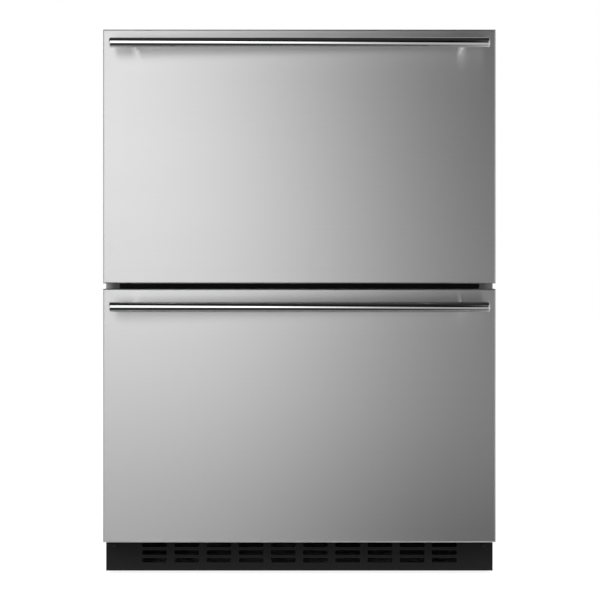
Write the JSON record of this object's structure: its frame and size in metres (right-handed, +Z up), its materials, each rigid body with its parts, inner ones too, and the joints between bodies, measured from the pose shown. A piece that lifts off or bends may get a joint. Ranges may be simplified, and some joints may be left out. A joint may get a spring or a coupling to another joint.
{
  "type": "undercounter drawer refrigerator",
  "caption": "Undercounter refrigerator with full-width insulated drawers, round bar handles and a slotted toe grille",
  "frame": {"origin": "floor level, under the centre of the overall box", "axes": "+X right, +Y to the back (the fronts face -Y), +Z up"},
  "size_m": [0.6, 0.6474, 0.8384],
  "materials": {
    "stainless": "satin",
    "cabinet_paint": "satin",
    "black_paint": "satin",
    "galvanised": "matte",
    "insulation": "matte",
    "liner_plastic": "satin",
    "dark_plastic": "matte",
    "seal_rubber": "matte",
    "compressor_paint": "satin",
    "aluminium_fins": "satin",
    "copper_tube": "satin",
    "lamp_lens": "matte",
    "divider_plastic": "gloss",
    "zinc_plate": "satin"
  },
  "bodies": {
    "cabinet": {"outer_wrapper": "cabinet_paint", "back_panel": "galvanised", "machine_room_cover": "galvanised", "base_pan": "galvanised", "deck_plate": "galvanised", "foam_insulation": "insulation", "upper_liner": "liner_plastic", "lower_liner": "liner_plastic", "mullion_rail": "black_paint", "toe_grille": "black_paint", "compressor": "compressor_paint", "compressor_grommets": "seal_rubber", "condenser_coil": "aluminium_fins", "condenser_fan_housing": "dark_plastic", "drain_pan": "dark_plastic", "power_inlet": "dark_plastic", "refrigerant_tubes": "copper_tube", "evaporator_coil": "aluminium_fins", "evaporator_cover": "liner_plastic", "evaporator_fan_motor": "dark_plastic", "control_housing": "dark_plastic", "interior_lamps": "lamp_lens", "upper_left_cabinet_rail": "galvanised", "upper_right_cabinet_rail": "galvanised", "lower_left_cabinet_rail": "galvanised", "lower_right_cabinet_rail": "galvanised"},
    "upper_middle_rails": {"upper_left_middle_rail": "galvanised", "upper_right_middle_rail": "galvanised"},
    "upper_drawer": {"upper_front_skin": "stainless", "upper_front_foam": "insulation", "upper_front_liner": "dark_plastic", "upper_gasket": "seal_rubber", "upper_handle_bar": "stainless", "upper_handle_posts": "stainless", "upper_bin": "stainless", "upper_drawer_frame": "galvanised", "upper_left_drawer_rail": "galvanised", "upper_right_drawer_rail": "galvanised"},
    "upper_divider": {"upper_divider": "divider_plastic"},
    "lower_middle_rails": {"lower_left_middle_rail": "galvanised", "lower_right_middle_rail": "galvanised"},
    "lower_drawer": {"lower_front_skin": "stainless", "lower_front_foam": "insulation", "lower_front_liner": "dark_plastic", "lower_gasket": "seal_rubber", "lower_handle_bar": "stainless", "lower_handle_posts": "stainless", "lower_bin": "stainless", "lower_drawer_frame": "galvanised", "lower_left_drawer_rail": "galvanised", "lower_right_drawer_rail": "galvanised"},
    "lower_divider": {"lower_divider": "divider_plastic"},
    "condenser_fan": {"condenser_fan_blades": "dark_plastic"},
    "evaporator_fan": {"evaporator_fan_blades": "dark_plastic"},
    "foot_front_left": {"foot_front_left": "zinc_plate"},
    "foot_front_right": {"foot_front_right": "zinc_plate"},
    "foot_rear_left": {"foot_rear_left": "zinc_plate"},
    "foot_rear_right": {"foot_rear_right": "zinc_plate"},
    "button_up": {"control_button_up": "dark_plastic"},
    "button_down": {"control_button_down": "dark_plastic"}
  },
  "joints": [
    {"name": "upper_drawer_slide", "type": "slide", "parent": "cabinet", "child": "upper_drawer", "axis": [0, -1, 0], "range_m": [0, 0.4]},
    {"name": "upper_rails_slide", "type": "slide", "parent": "cabinet", "child": "upper_middle_rails", "axis": [0, -1, 0], "range_m": [0, 0.2]},
    {"name": "upper_divider_slide", "type": "slide", "parent": "upper_drawer", "child": "upper_divider", "axis": [1, 0, 0], "range_m": [-0.18, 0.18]},
    {"name": "lower_drawer_slide", "type": "slide", "parent": "cabinet", "child": "lower_drawer", "axis": [0, -1, 0], "range_m": [0, 0.4]},
    {"name": "lower_rails_slide", "type": "slide", "parent": "cabinet", "child": "lower_middle_rails", "axis": [0, -1, 0], "range_m": [0, 0.2]},
    {"name": "lower_divider_slide", "type": "slide", "parent": "lower_drawer", "child": "lower_divider", "axis": [1, 0, 0], "range_m": [-0.18, 0.18]},
    {"name": "condenser_fan_spin", "type": "hinge", "parent": "cabinet", "child": "condenser_fan", "pos_m": [-0.09, 0.21475, 0.11], "axis": [1, 0, 0], "continuous": true},
    {"name": "evaporator_fan_spin", "type": "hinge", "parent": "cabinet", "child": "evaporator_fan", "pos_m": [0, 0.22155, 0.704], "axis": [0, 1, 0], "continuous": true},
    {"name": "foot_front_left_turn", "type": "hinge", "parent": "cabinet", "child": "foot_front_left", "pos_m": [-0.265, -0.16125, 0], "axis": [0, 0, 1], "range_deg": [-360, 360]},
    {"name": "foot_front_right_turn", "type": "hinge", "parent": "cabinet", "child": "foot_front_right", "pos_m": [0.265, -0.16125, 0], "axis": [0, 0, 1], "range_deg": [-360, 360]},
    {"name": "foot_rear_left_turn", "type": "hinge", "parent": "cabinet", "child": "foot_rear_left", "pos_m": [-0.265, 0.26875, 0], "axis": [0, 0, 1], "range_deg": [-360, 360]},
    {"name": "foot_rear_right_turn", "type": "hinge", "parent": "cabinet", "child": "foot_rear_right", "pos_m": [0.265, 0.26875, 0], "axis": [0, 0, 1], "range_deg": [-360, 360]},
    {"name": "button_up_press", "type": "slide", "parent": "cabinet", "child": "button_up", "axis": [0, 1, 0], "range_m": [0, 0.001], "stiffness_N_per_m": 300},
    {"name": "button_down_press", "type": "slide", "parent": "cabinet", "child": "button_down", "axis": [0, 1, 0], "range_m": [0, 0.001], "stiffness_N_per_m": 300}
  ],
  "couplings": [
    {"joint": "upper_rails_slide", "follows": "upper_drawer_slide", "ratio": 0.5},
    {"joint": "lower_rails_slide", "follows": "lower_drawer_slide", "ratio": 0.5}
  ]
}
